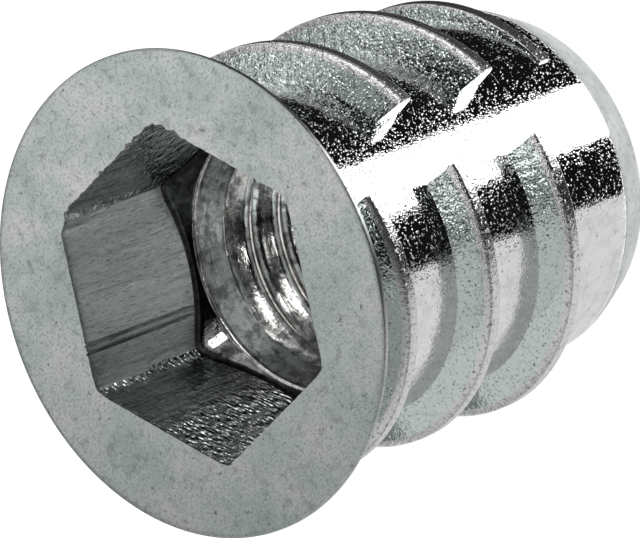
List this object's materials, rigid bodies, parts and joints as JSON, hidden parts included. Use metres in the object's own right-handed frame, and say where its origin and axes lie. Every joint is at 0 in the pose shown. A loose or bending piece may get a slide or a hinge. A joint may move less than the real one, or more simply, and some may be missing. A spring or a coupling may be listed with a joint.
{
  "type": "threaded insert",
  "caption": "Flanged cast threaded insert with a hex drive socket, a through thread and interrupted helical ridges.",
  "frame": {"origin": "centre of the nose end, on the surface that the insert stands on", "axes": "+Z along the axis from the nose to the flange, +X through a corner of the hex socket and the middle of a smooth band"},
  "size_m": [0.0168, 0.0168, 0.0172],
  "materials": {
    "cast_zinc": "bright zinc plating over a die casting, matte on the flange face"
  },
  "bodies": {
    "root": {"insert": "cast_zinc"}
  },
  "joints": []
}
